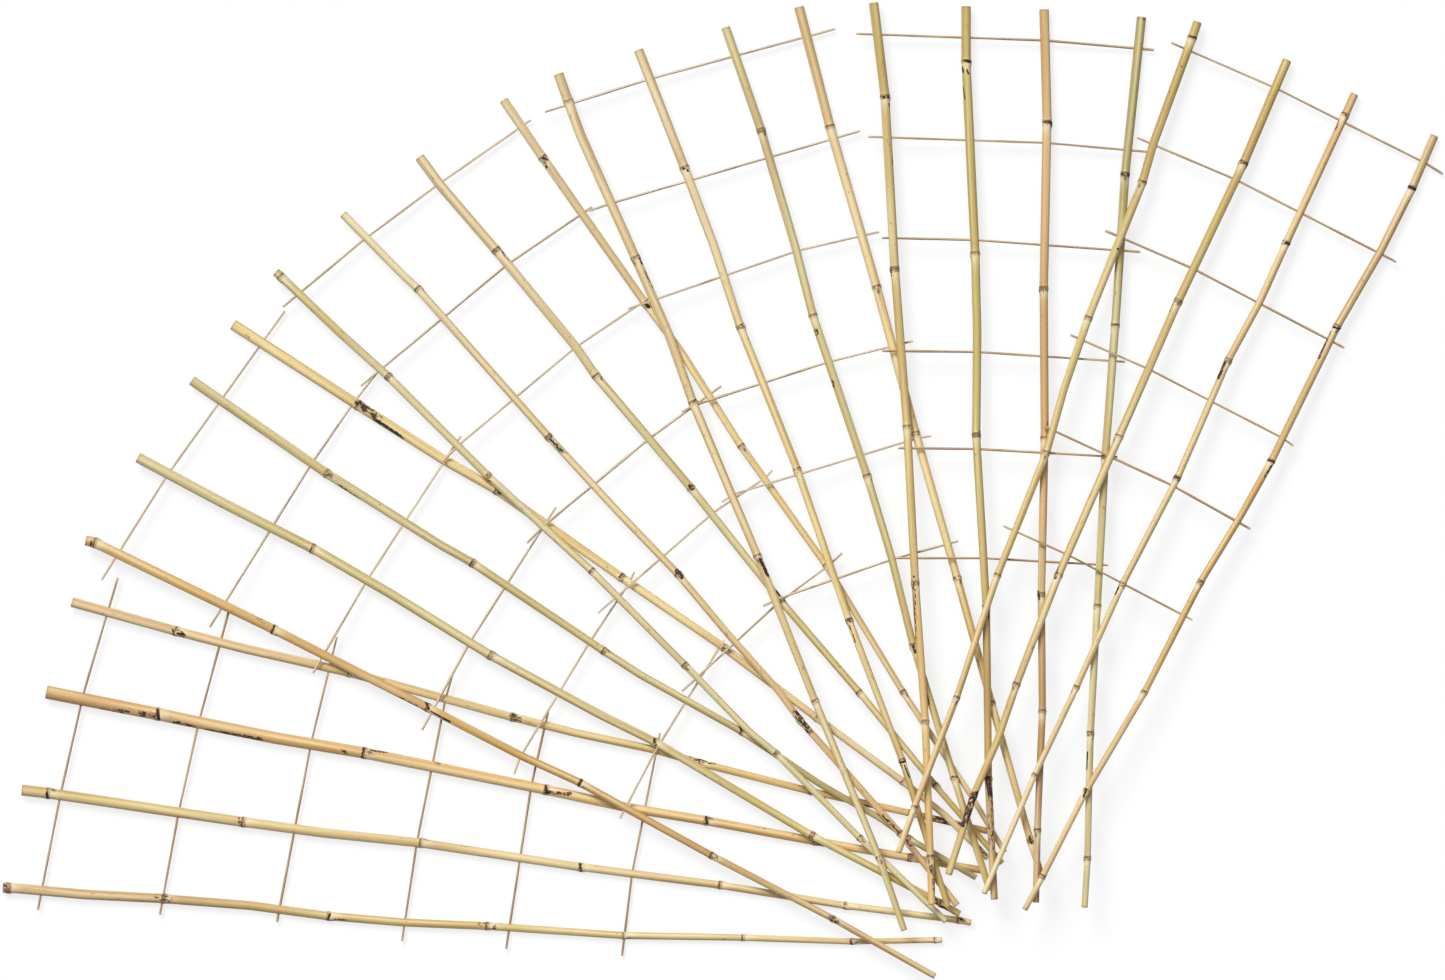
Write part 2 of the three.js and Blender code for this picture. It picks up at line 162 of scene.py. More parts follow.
def out_to_end(line, corners):
    """Points that carry a line on, straight, to the middle of the solid's end face."""
    heading = line[0] - line[HEADING_CUTS]
    heading /= np.linalg.norm(heading)
    ahead = (corners - line[0]) @ heading
    face = np.unique(corners[ahead > ahead.max() - END_FACE], axis=0)
    step = face.mean(0) - line[0]
    count = max(1, round(np.linalg.norm(step) / CUT_STEP))
    return line[0] + step * np.arange(count, 0, -1)[:, None] / count


print("cuts along one cane:", len(middle_line("trellis_1_cane_a", UP["trellis_1"])[0]))

# %% [markdown]
# ## Knots
# Bamboo is a row of tubes closed by knots. The solid swells by a little at each knot, so the
# knots are the places where the measured radius stands out above a steady taper. How far apart two
# knots are at least, and how far the line is smoothed, are counts of cuts, one a millimetre.

# %% Find the knots and smooth the line
KNOT_RISE = 0.7 * MM
KNOT_SHARE = 0.6
KNOT_APART = 12
LINE_SOFTNESS = 9


def knots_of(radii):
    """Where the radius stands out by a share of a knot's rise, and the most for some way round."""
    steps = np.arange(len(radii))
    taper = np.polyval(np.polyfit(steps, radii, 1), steps)
    below = radii - taper < KNOT_RISE
    taper = np.polyval(np.polyfit(steps[below], np.minimum(radii, taper)[below], 1), steps)
    proud = radii - taper
    padded = np.pad(proud, KNOT_APART, constant_values=-1)
    windows = np.lib.stride_tricks.sliding_window_view(padded, 2 * KNOT_APART + 1)
    peaks = np.flatnonzero((proud >= windows.max(1)) & (proud > KNOT_SHARE * KNOT_RISE))
    return peaks, taper


def smoothed(line):
    """A line with its corners rounded: each point is a weighted mean of its neighbours."""
    reach = np.arange(1, LINE_SOFTNESS + 1)[:, None]
    before = line[0] - reach[::-1] * (line[1] - line[0])
    after = line[-1] + reach * (line[-1] - line[-2])
    longer = np.vstack([before, line, after])
    weights = np.hanning(2 * LINE_SOFTNESS + 3)[1:-1]
    weights /= weights.sum()
    return np.stack([np.convolve(longer[:, i], weights, "valid") for i in range(3)], axis=1)


class Stem:
    """A cane or rod as a line with a radius: places, headings and lengths along it."""

    def __init__(self, node, body):
        self.up = UP[body]
        line, radii = middle_line(node, self.up)
        if radii[: len(radii) // 4].mean() < radii[-len(radii) // 4 :].mean():
            line, radii = line[::-1], radii[::-1]
        self.peaks, self.taper = knots_of(radii)
        self.line = smoothed(line)
        steps = np.linalg.norm(np.diff(self.line, axis=0), axis=1)
        self.along = np.concatenate([[0], np.cumsum(steps)])
        self.length = self.along[-1]
        self.knots = self.along[self.peaks]
        self.heading = np.gradient(self.line, self.along, axis=0)

    def at(self, distance):
        """Place and heading at distances from the start, by proportion between the cuts."""
        place, heading = (
            np.stack([np.interp(distance, self.along, values[:, i]) for i in range(3)], -1)
            for values in (self.line, self.heading)
        )
        past = distance - np.clip(distance, 0, self.length)
        heading /= np.linalg.norm(heading, axis=-1, keepdims=True)
        return place + heading * past[..., None], heading

    def radius(self, distance):
        """The steady taper, without the knots."""
        return np.interp(distance, self.along, self.taper)


canes, rods = {}, {}
for body in BODIES:
    for letter in LETTERS:
        node = f"{body}_cane_{letter}"
        canes[node] = Stem(node, body)
        stem = canes[node]
        ends = stem.radius(np.array([0, stem.length])) / MM * 2
        print(node, f"{stem.length:.3f} m,", len(stem.knots), "knots,",
              f"{ends[0]:.1f} to {ends[1]:.1f} mm thick")
    for number in ROD_NUMBERS:
        node = f"{body}_rod_{number}"
        rods[node] = Stem(node, body)

# %% [markdown]
# ## A skin wrapped round a line
# Every piece here is the same kind of surface. One number runs along the line and one runs round
# it, and a formula gives the radius for each pair. Computed as whole arrays, such a grid costs
# nothing, and its rows can lie as close together as the detail needs.

# %% From a grid of points to a mesh
def grid_faces(rows, columns):
    """Quads between neighbouring rows, wound so that they face outwards, closed round."""
    low = np.arange(rows - 1)[:, None] * columns
    here = np.arange(columns)[None, :]
    there = (here + 1) % columns
    quads = np.stack([low + here, low + there, low + columns + there, low + columns + here], -1)
    return quads.reshape(-1, 4)


def closed_mesh(name, points):
    """A mesh from rows of points, with one flat face at each end.

    Its volume, a sum of the faces' cones from the origin, tells which way the faces point, and
    all are turned round if it is negative.
    """
    rows, columns = points.shape[:2]
    corners = points.reshape(-1, 3)
    quads = grid_faces(rows, columns)
    a, b, c, d = (corners[quads[:, i]] for i in range(4))
    volume = (np.cross(a, b) * c + np.cross(a, c) * d).sum() / 6
    first = np.arange(columns)[::-1]
    last = np.arange(columns) + (rows - 1) * columns
    faces = [*quads.tolist(), first.tolist(), last.tolist()]
    if volume < 0:
        faces = [face[::-1] for face in faces]
    mesh = bpy.data.meshes.new(name)
    mesh.from_pydata(corners.tolist(), [], faces)
    return mesh


def wrapped(stem, distances, radii, columns):
    """Points round a line: at each distance, the middle plus radius times a turning direction."""
    place, heading = stem.at(distances)
    side = np.cross(heading, stem.up)
    side /= np.linalg.norm(side, axis=1, keepdims=True)
    turn = np.arange(columns) * 2 * math.pi / columns
    rise = np.cross(side, heading)
    arms = (
        np.cos(turn)[None, :, None] * side[:, None]
        + np.sin(turn)[None, :, None] * rise[:, None]
    )
    return place[:, None] + np.asarray(radii)[..., None] * arms


# %% [markdown]
# ## The shape of a cane
# At a knot the cane swells. The leaf sheath left a sharp rim on the swelling, and on the side of
# the thick end a groove and a low lip. A bud sat on one side of each knot, on the other side at
# the next one: it leaves a small swelling and, towards the thin end, a long shallow channel. The
# cane is cut off square at both ends, and the cut shows that it is hollow.

# %% Places round a knot
BUD_TURN = 2.4
BUD_STRAY = 0.22


def bell(offset, width):
    """A smooth bump: 1 in the middle, down to a third at width."""
    return np.exp(-((offset / width) ** 2))


def nearest_knot(stem, distances):
    """Signed distance to the nearest knot, past it positive, and that knot's number."""
    gaps = distances[..., None] - stem.knots
    number = np.abs(gaps).argmin(-1)
    return np.take_along_axis(gaps, number[..., None], -1)[..., 0], number


def chance(number, seed):
    """A share from 0 to 1 that looks random and is the same each time: the end of a sine."""
    return np.sin(number * 12.99 + seed * 78.23) * 4375.5 % 1


BUD_START = {node: BUD_TURN * index for index, node in enumerate(canes)}
BUD_START.update({"trellis_5_cane_a": math.pi, "trellis_5_cane_c": math.pi})


def bud_angle(number, start):
    """Buds sit on opposite sides of the cane in turn, with a little straying."""
    return start + number * (math.pi + BUD_STRAY)


def angle_between(one, other):
    """The smaller angle between two directions, with its sign."""
    return (one - other + math.pi) % (2 * math.pi) - math.pi


def fading(past, reach):
    """Nothing before the knot, all of it 3 mm past the knot, then less and less with distance."""
    return np.clip(past / 3, 0, 1) * np.exp(-np.clip(past, 0, None) / reach)


print("buds in turn, degrees:", np.round(np.degrees(bud_angle(np.arange(4), 0)) % 360))

# %% Radius of a cane
CANE_COLUMNS = 28
HOLLOW_SHARE = 0.36
HOLLOW_DEPTH = 14 * MM
CUT_CHAMFER = 0.6 * MM
ROW_STEP = 2.5 * MM
ROW_APART = 0.18 * MM
KNOT_ROWS = np.arange(-5, 9, 0.5) * MM


def cane_radius(stem, distances, turn, start):
    """Taper, plus a knot's swelling, rim, groove and lip, plus the bud and its channel.

    Distances in the bells are millimetres past the knot. The section is a little oval and has
    five faint lobes, which turn slowly along the cane.
    """
    past, number = nearest_knot(stem, distances)
    past = past / MM
    knot = (
        0.45 * bell(past - 0.4, 3.2)
        + 0.3 * bell(past + 0.2, 0.8)
        - 0.35 * bell(past + 1.5, 0.55)
        + 0.25 * bell(past + 2.5, 0.6)
    ) * MM
    aside = angle_between(turn[None, :], bud_angle(number, start)[:, None])
    bud = 0.8 * bell(aside, 0.42) * bell(past - 3, 2.4)[:, None]
    channel = -0.35 * bell(aside, 0.5) * fading(past, 32)[:, None]
    oval = 0.012 * np.cos(2 * (turn - start))
    lobes = 0.006 * np.cos(5 * turn[None, :] + 40 * distances[:, None])
    radius = stem.radius(distances)[:, None]
    return radius * (1 + oval + lobes) + knot[:, None] + (bud + channel) * MM


def rows_along(stem):
    """Distances for the rows: some millimetres apart, and close together at knots and ends."""
    plain = np.linspace(0, stem.length, int(stem.length / ROW_STEP))
    near = (stem.knots[:, None] + KNOT_ROWS).ravel()
    tips = np.array([CUT_CHAMFER, 2 * MM])
    rows = np.concatenate([plain, near, tips, stem.length - tips])
    rows = np.unique(np.round(rows[(rows >= 0) & (rows <= stem.length)], 5))
    keep = np.concatenate([[True], np.diff(rows) > ROW_APART])
    keep[-1] = True
    return rows[keep]


def cane_points(stem, start):
    """The rows of a cane from the floor of one hollow end, over its bark, to the other."""
    turn = np.arange(CANE_COLUMNS) * 2 * math.pi / CANE_COLUMNS
    rows = rows_along(stem)
    radii = cane_radius(stem, rows, turn, start)
    radii[[0, -1]] -= CUT_CHAMFER
    hollow = HOLLOW_SHARE * radii[[0, -1]].mean(1)
    inside = [
        np.full((2, CANE_COLUMNS), hollow[0]),
        radii,
        np.full((2, CANE_COLUMNS), hollow[1]),
    ]
    places = np.concatenate(
        [[HOLLOW_DEPTH, 0], rows, [stem.length, stem.length - HOLLOW_DEPTH]]
    )
    return np.clip(wrapped(stem, places, np.vstack(inside), CANE_COLUMNS), *SOLID_BOX)


sample = cane_points(canes["trellis_1_cane_a"], 0)
print("one cane has", sample.shape[0], "rows of", sample.shape[1], "points")

# %% [markdown]
# ## The shape of a rod
# A rod is split, not grown: its section is a rounded square, flatter on the side that was inside
# the stem, and it wanders a little in width along its length because it was shaved by hand.

# %% Radius of a rod
ROD_COLUMNS = 14
ROD_RADIUS = 1.4 * MM
ROD_FULLNESS = 0.76
ROD_TIP = 0.75
ROD_ROW_STEP = 5 * MM


def rod_points(stem, number):
    """A rounded square, from the power 4 of sine and cosine.

    It turns to and fro over 70 cm, and its width wanders in waves of 10 cm and 4 cm.
    """
    rows = np.linspace(0, stem.length, int(stem.length / ROD_ROW_STEP))
    rows = np.concatenate([[0], rows, [stem.length]])
    turn = np.arange(ROD_COLUMNS) * 2 * math.pi / ROD_COLUMNS
    twist = 0.3 * np.sin(rows * 9 + number)[:, None] + number
    square = (np.cos(turn - twist) ** 4 + np.sin(turn - twist) ** 4) ** -0.25
    flat = 1 - 0.12 * bell(angle_between(turn[None, :], 1 - twist), 0.7)
    wander = 1 + 0.05 * np.sin(rows * 61 + number * 3) + 0.04 * np.sin(rows * 143 + number)
    radii = ROD_FULLNESS * ROD_RADIUS * square * flat * wander[:, None]
    radii = np.minimum(radii, ROD_RADIUS)
    radii[[0, -1]] *= ROD_TIP
    return np.clip(wrapped(stem, rows, radii, ROD_COLUMNS), *SOLID_BOX)


print("one rod has", rod_points(rods["trellis_1_rod_1"], 0).shape[0], "rows")

# %% [markdown]
# ## Drilled holes
# The rods don't touch the bark: each runs through a hole. A drill is a round bar along the rod,
# slightly thicker than it, and a Boolean modifier takes it out of the cane. Only then is it known
# which points belong to bark, to a cut end or to the inside of a hole.

# %% The drills
DRILL_RADIUS = 1.6 * MM
DRILL_COLUMNS = 16
DRILL_ROWS = 24
DRILL_OVERRUN = 6 * MM


def drills_of(body):
    """All the drills of a trellis in one object."""
    meshes = []
    for number in ROD_NUMBERS:
        stem = rods[f"{body}_rod_{number}"]
        rows = np.linspace(-DRILL_OVERRUN, stem.length + DRILL_OVERRUN, DRILL_ROWS)
        radii = np.full((len(rows), DRILL_COLUMNS), DRILL_RADIUS)
        meshes.append(wrapped(stem, rows, radii, DRILL_COLUMNS))
    joined = bpy.data.meshes.new(f"{body}_drills")
    corners, faces, offset = [], [], 0
    for points in meshes:
        mesh = closed_mesh("drill", points)
        corners += [tuple(vertex.co) for vertex in mesh.vertices]
        faces += [[i + offset for i in polygon.vertices] for polygon in mesh.polygons]
        offset += len(mesh.vertices)
        bpy.data.meshes.remove(mesh)
    joined.from_pydata(corners, [], faces)
    drills = bpy.data.objects.new(joined.name, joined)
    bpy.context.scene.collection.objects.link(drills)
    return drills


def drilled(name, mesh, drills):
    """A cane's mesh with the drills taken out of it."""
    blank = bpy.data.objects.new(name, mesh)
    bpy.context.scene.collection.objects.link(blank)
    holes = blank.modifiers.new("holes", "BOOLEAN")
    holes.operation = "DIFFERENCE"
    holes.solver = "MANIFOLD"
    holes.object = drills
    made = blank.evaluated_get(bpy.context.evaluated_depsgraph_get())
    result = bpy.data.meshes.new_from_object(made)
    bpy.data.objects.remove(blank)
    bpy.data.meshes.remove(mesh)
    result.name = name
    return result


print("holes", 2 * DRILL_RADIUS / MM, "mm wide for rods up to", 2 * ROD_RADIUS / MM, "mm thick")

# %% Make the pieces
SHARP_ANGLE = 42


def smooth_shaded(mesh):
    """Smooth shading, broken where the surface turns by more than the sharp angle."""
    mesh.shade_smooth()
    mesh.set_sharp_from_angle(angle=math.radians(SHARP_ANGLE))


def add_piece(mesh, body, node):
    """A piece that stands for a solid node and moves with its trellis."""
    piece = bpy.data.objects.new(mesh.name, mesh)
    bpy.context.scene.collection.objects.link(piece)
    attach(piece, body)
    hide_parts(node)
    return piece


pieces = {}
for node, stem in canes.items():
    body = node[: node.index("_cane")]
    if node.endswith("a"):
        drills = drills_of(body)
    points = cane_points(stem, BUD_START[node])
    mesh = drilled(node.replace("cane", "bamboo"), closed_mesh(node, points), drills)
    smooth_shaded(mesh)
    pieces[node] = add_piece(mesh, body, node)
    if node.endswith("d"):
        bpy.data.objects.remove(drills)
for index, (node, stem) in enumerate(rods.items()):
    body = node[: node.index("_rod")]
    mesh = closed_mesh(node.replace("rod", "split_rod"), rod_points(stem, index))
    smooth_shaded(mesh)
    pieces[node] = add_piece(mesh, body, node)
print(len(pieces), "pieces,", sum(len(p.data.polygons) for p in pieces.values()), "faces")

# %% [markdown]
# ## Where the bark is marked
# Colour follows the growth of the cane, so the materials have to know where on the cane they are.
# After drilling, every point of a piece is therefore measured: how far along the stem it is, and
# where round it. These measurements go into attributes, and a material reads them by name.

# %% Measure a finished piece
def middles_of(mesh):
    """The middle of every face, as rows of x, y and z."""
    middles = np.empty(len(mesh.polygons) * 3, np.float32)
    mesh.polygons.foreach_get("center", middles)
    return middles.reshape(-1, 3).astype(float)


def store(mesh, name, kind, domain, values):
    """One number or one vector for each point or face, under a name."""
    attribute = mesh.attributes.new(name, kind, domain)
    field = "vector" if kind == "FLOAT_VECTOR" else "value"
    attribute.data.foreach_set(field, np.ascontiguousarray(values, np.float32).ravel())


def straightened(stem, places):
    """Places as if the stem were straight: sideways, upwards and along.

    The distance along starts as a projection on the chord. Each round adds what is still left in
    the direction of the line there, and three rounds settle it.
    """
    chord = stem.line[-1] - stem.line[0]
    along = (places - stem.line[0]) @ chord / np.linalg.norm(chord)
    for _ in range(3):
        middle, heading = stem.at(along)
        along = along + ((places - middle) * heading).sum(1)
    middle, heading = stem.at(along)
    side = np.cross(heading, stem.up)
    side /= np.linalg.norm(side, axis=1, keepdims=True)
    rise = np.cross(side, heading)
    arm = places - middle
    return np.stack([(arm * side).sum(1), (arm * rise).sum(1), along], axis=1)


sample = straightened(canes["trellis_1_cane_a"], points_of(pieces["trellis_1_cane_a"].data))
print("reach of one cane in its own directions, mm:", np.round(np.ptp(sample, axis=0) / MM, 1))

# %% [markdown]
# ## Stains, bruises and a painted shadow
# Canes are sold as they grow, with black mould spots, scraped knots and bruises. They lie where the
# photograph has them: 95 were placed one by one, and 34 small ones come from a list of its dark
# spots.
# Each is a stroke between two places, seen from above, with a half width in millimetres and a
# strength, and the material breaks it up into speckles. One stroke is painted shadow in the gap
# between two canes, and two draw a thin dark line along the lower edge of a cane.

# %% Strokes of stain
PHOTO_CORNER = (-723.306, 490.520)
STROKE_FULL = 1.8
STAIN_AND_SHADE_STROKES = {
    "trellis_1_cane_a": [
        ((4, 885), (8, 891), 3, 0.9), ((157, 896), (170, 900), 4, 0.85),
        ((330, 914), (328, 920), 1.3, 1.2), ((335, 919), (349, 920), 0.8, 1.05),
        ((480, 924), (495, 927), 3.5, 0.75), ((850, 941), (853, 945), 0.9, 1.1),
    ],
    "trellis_1_cane_b": [
        ((47, 793), (48, 798), 1.5, 1.2), ((239, 819), (241, 827), 2, 0.9),
        ((580, 864), (581, 870), 1.5, 1.1), ((960, 919), (966, 922), 1.5, 1),
    ],
    "trellis_1_cane_c": [
        ((100, 709), (128, 712), 2.5, 0.9), ((141, 713), (153, 715), 3.5, 0.95),
        ((158, 710), (159, 719), 1.6, 1.4), ((174, 722), (195, 727), 2.2, 1),
        ((205, 730), (262, 739), 2, 1), ((341, 750), (348, 753), 1.8, 0.95),
        ((364, 747), (362, 757), 1.3, 1.1), ((371, 750), (387, 753), 1, 1.05),
        ((434, 762), (440, 764), 1.5, 0.9), ((546, 786), (547, 793), 1.3, 1.3),
        ((546, 792), (570, 794), 2.5, 0.95), ((706, 817), (707, 823), 1.3, 1.3),
        ((818, 843), (825, 846), 1.4, 1.1),
    ],
    "trellis_1_cane_d": [
        ((173, 629), (174, 635), 1.2, 1.2), ((179, 632), (184, 635), 2.5, 0.95),
        ((512, 716), (520, 720), 3.5, 0.9), ((690, 758), (714, 763), 2.5, 0.9),
        ((863, 805), (871, 807), 1, 1), ((934, 818), (962, 826), 3, 1),
    ],
    "trellis_2_cane_a": [
        ((92, 541), (91, 546), 1, 1.15), ((258, 618), (270, 626), 2, 0.8),
        # The strokes from (398, 696) and from (431, 711) draw a thin dark line along this cane's
        # lower edge.
        ((275, 625), (272, 633), 1, 1.25), ((398, 696), (426, 710), 0.8, 0.95),
        ((426, 702), (429, 709), 1.3, 1.2), ((431, 711), (451, 722), 1, 1.25),
        ((579, 785), (582, 779), 1.3, 1.3), ((706, 851), (716, 858), 3, 0.8),
        ((828, 916), (838, 922), 2.5, 0.85),
    ],
    "trellis_2_cane_b": [
        ((654, 739), (656, 745), 1.3, 1.1), ((935, 897), (937, 903), 1.4, 1.05),
        ((940, 906), (946, 911), 2.5, 1),
    ],
    "trellis_2_cane_c": [
        ((325, 472), (335, 480), 2.2, 0.85), ((338, 484), (361, 500), 1, 1),
        ((473, 561), (469, 567), 0.9, 1.1), ((739, 725), (742, 731), 1.1, 1.3),
        ((746, 729), (749, 733), 0.9, 1.2),
    ],
    "trellis_2_cane_d": [
        ((358, 403), (380, 419), 4, 1), ((376, 420), (402, 438), 2.3, 1.1),
        ((497, 489), (500, 493), 1.6, 1.2), ((623, 572), (619, 577), 0.8, 1.05),
        ((722, 645), (727, 650), 4, 0.8), ((979, 846), (988, 858), 1.2, 1),
    ],
    "trellis_3_cane_b": [
        ((550, 438), (562, 452), 2.5, 1), ((677, 571), (682, 577), 2.6, 1.1),
        ((722, 630), (728, 636), 3, 0.75), ((795, 711), (810, 733), 3.2, 1),
        ((883, 815), (899, 832), 1.8, 0.95), ((906, 839), (911, 846), 2, 1),
    ],
    "trellis_3_cane_c": [
        ((503, 251), (509, 259), 2.5, 0.9), ((690, 486), (693, 489), 2, 1.1),
        ((777, 591), (780, 597), 1.2, 1.1),
    ],
    "trellis_3_cane_d": [
        ((543, 158), (547, 160), 1.3, 1.3), ((546, 166), (547, 168), 1.2, 1.1),
        ((646, 304), (649, 307), 1.7, 1.4),
    ],
    "trellis_4_cane_a": [
        ((638, 255), (642, 264), 1.2, 1.05), ((644, 270), (653, 288), 0.8, 0.95),
        ((692, 401), (697, 399), 0.8, 1.05), ((760, 559), (768, 576), 1.6, 1.25),
    ],
    "trellis_4_cane_b": [
        ((683, 168), (684, 169), 1.4, 1.3), ((687, 170), (688, 171), 1.3, 1.2),
        ((848, 619), (850, 623), 1.2, 1), ((849, 625), (856, 643), 0.8, 1.1),
        ((898, 763), (905, 761), 1.2, 1.3), ((904, 765), (909, 777), 0.9, 1.05),
    ],
    "trellis_4_cane_c": [
        ((816, 330), (817, 334), 2.3, 1), ((832, 382), (833, 386), 2.3, 1),
        # The stroke from (927, 693) to (929, 704) is painted shadow, in the gap between two canes.
        ((913, 646), (915, 652), 2, 1.1), ((927, 693), (929, 704), 0.8, 1),
        ((952, 776), (957, 777), 0.8, 1.1),
    ],
    "trellis_4_cane_d": [((1029, 836), (1031, 843), 1.2, 1.2)],
    "trellis_5_cane_a": [
        ((884, 97), (884, 98), 1.4, 1.3), ((888, 97), (888, 98), 1.2, 1.3),
        ((889, 104), (890, 108), 1, 1.2), ((889, 144), (889, 145), 0.9, 1),
        ((892, 156), (893, 166), 0.9, 0.95), ((890, 271), (891, 276), 0.9, 1.2),
        ((914, 576), (915, 640), 1.5, 0.9), ((931, 866), (933, 874), 2.5, 1),
        ((933, 878), (934, 896), 1.5, 0.95),
    ],
    "trellis_5_cane_b": [
        ((965, 61), (970, 62), 1.5, 1.3), ((962, 68), (963, 73), 1.3, 1.2),
        ((967, 70), (968, 74), 1.2, 1.2), ((963, 86), (965, 99), 0.9, 1.1),
        ((979, 431), (978, 436), 0.8, 1), ((989, 608), (988, 618), 0.8, 1.1),
        ((988, 778), (990, 795), 3, 1.1), ((990, 795), (991, 850), 3, 0.8),
    ],
    "trellis_5_cane_c": [
        ((1044, 122), (1051, 123), 0.8, 1.2), ((1051, 124), (1052, 132), 1.2, 1.3),
        ((1047, 421), (1047, 425), 0.8, 1.1), ((1044, 461), (1042, 469), 0.8, 1),
        ((1038, 591), (1039, 599), 1, 1.2),
    ],
    "trellis_5_cane_d": [
        ((1138, 19), (1144, 20), 2, 0.85), ((1122, 174), (1123, 175), 1.3, 1.3),
        ((1128, 174), (1128, 176), 1.3, 1.3), ((1117, 262), (1114, 274), 0.8, 1.05),
        ((1114, 325), (1119, 325), 0.7, 1.1), ((1087, 751), (1086, 769), 0.9, 1.2),
    ],
    "trellis_6_cane_a": [
        ((1190, 37), (1196, 38), 1, 1.3), ((1181, 66), (1181, 67), 1, 1.2),
        ((1169, 92), (1169, 94), 0.8, 1), ((1117, 249), (1118, 250), 1.2, 1.2),
    ],
    "trellis_6_cane_b": [
        ((1239, 163), (1247, 164), 0.8, 1), ((1247, 165), (1245, 169), 1, 1.1),
        ((1172, 304), (1168, 312), 1, 1.2), ((1058, 564), (1055, 578), 1.5, 0.95),
        ((975, 795), (963, 822), 5, 1.05),
    ],
    "trellis_6_cane_c": [
        ((1345, 115), (1348, 120), 0.9, 1), ((1338, 122), (1335, 131), 1.1, 1),
        ((1285, 243), (1291, 245), 1.2, 1.2), ((1224, 363), (1218, 378), 1.8, 1.15),
        ((1173, 476), (1178, 478), 0.9, 1.2), ((1118, 587), (1115, 594), 1.1, 1.2),
    ],
    "trellis_6_cane_d": [
        ((1409, 187), (1416, 190), 1.5, 1.4), ((1333, 327), (1339, 329), 1.3, 1.2),
        ((1330, 331), (1318, 359), 1.3, 1.1), ((1267, 460), (1274, 462), 1.2, 1.2),
        ((1271, 466), (1264, 477), 1.2, 1), ((1086, 789), (1083, 796), 1.3, 1.1),
    ],
}


def photo_place(place):
    """A place in the photograph, one millimetre to a dot, as x and y in metres."""
    return np.array([place[0] + PHOTO_CORNER[0], PHOTO_CORNER[1] - place[1]]) * MM


def stain_of(node, places):
    """The strongest of the strokes at each place: a bell of the distance, with its top cut off."""
    stain = np.zeros(len(places))
    for start, end, half_width, strength in STAIN_AND_SHADE_STROKES.get(node, ()):
        start, end = photo_place(start), photo_place(end)
        stroke = end - start
        share = np.clip((places[:, :2] - start) @ stroke / (stroke @ stroke), 0, 1)
        away = np.linalg.norm(places[:, :2] - start - share[:, None] * stroke, axis=1)
        flat_topped = np.minimum(1, STROKE_FULL * bell(away, half_width * MM))
        stain = np.maximum(stain, strength * flat_topped)
    return stain


print(sum(map(len, STAIN_AND_SHADE_STROKES.values())), "strokes of stain on", len(STAIN_AND_SHADE_STROKES), "canes")

# %% [markdown]
# ## Marks at the knots and ends
# The rim where the leaf sheath fell off dries to a dark line just before the knot, with a fainter
# one past it. Small scabs lie close round the knot, more at some knots than at others. The stem
# just past it kept a pale bloom, and the bud and its channel are bruised dark. Towards the next
# knot the bark is older and browner, every joint has a tint of its own, and the sawn ends went
# brown.

# %% Write the marks into the pieces
BARK_DEPTH = 0.86
END_SLIVER = 0.02 * MM
PATTERN_SHIFT = 0.9
PALE_END = 1.5 * MM


def mark_cane(node, start):
    """Bells of the distance past the nearest knot, for points, and cut wood, for faces.

    A face is cut wood where its middle lies deeper than the bark or on the flat of an end.
    """
    mesh, stem = pieces[node].data, canes[node]
    places = points_of(mesh)
    own = straightened(stem, places)
    past, number = nearest_knot(stem, own[:, 2])
    past = past / MM
    turn = np.arctan2(own[:, 1], own[:, 0])
    aside = angle_between(turn, bud_angle(number, start))
    dark = 0.55 + 0.45 * chance(number, start + 1)
    joint = np.searchsorted(stem.knots, own[:, 2])
    ahead = (np.append(stem.knots, stem.length + 1)[joint] - own[:, 2]) / MM
    marks = {
        "rim": dark * np.maximum(bell(past + 0.7, 0.85), 0.35 * bell(past - 1.6, 0.7)),
        "bloom": np.clip(past + 0.5, 0, 2) / 2 * np.exp(-((np.clip(past, 0, None) / 10) ** 2)),
        "eyes": (0.1 + 0.8 * chance(number, start + 2)) * bell(past - 2, 3.2),
        "bud": np.maximum(
            bell(aside, 0.35) * bell(past - 5, 3), 0.8 * bell(aside, 0.25) * fading(past, 14)
        ),
        "age": np.exp(-ahead / 30),
        "sawn": bell(np.minimum(own[:, 2], stem.length - own[:, 2]) / MM, 1.6),
        "joint": chance(joint, start + 3),
        # Stains from the strokes; one of the strokes is painted shadow.
        "stain": stain_of(node, places),
        "share": own[:, 2] / stem.length,
    }
    for name, values in marks.items():
        store(mesh, name, "FLOAT", "POINT", values)
    store(mesh, "straight", "FLOAT_VECTOR", "POINT", own)
    inner = straightened(stem, middles_of(mesh))
    depth = np.hypot(inner[:, 0], inner[:, 1]) / stem.radius(inner[:, 2])
    tip = (inner[:, 2] < END_SLIVER) | (inner[:, 2] > stem.length - END_SLIVER)
    cut = (depth < BARK_DEPTH) | tip
    store(mesh, "cut", "FLOAT", "FACE", cut)
    return cut.sum()


cut_faces = [mark_cane(node, BUD_START[node]) for node in canes]
for index, (node, stem) in enumerate(rods.items()):
    own = straightened(stem, points_of(pieces[node].data))
    shifted = own + [0, 0, index * PATTERN_SHIFT]
    store(pieces[node].data, "straight", "FLOAT_VECTOR", "POINT", shifted)
    tip = np.minimum(own[:, 2], stem.length - own[:, 2])
    store(pieces[node].data, "cut", "FLOAT", "POINT", bell(np.maximum(tip, 0), PALE_END))
print("cut faces in a cane:", min(cut_faces), "to", max(cut_faces))

# %% [markdown]
# ## Shader arithmetic that reads like arithmetic
# A material is a network of nodes, and most of the nodes only add, multiply or mix. A small class
# holds an output socket. Its operators add the Math node for what is written, so that a finish
# can be written as formulas, and one method adds every other kind of node.

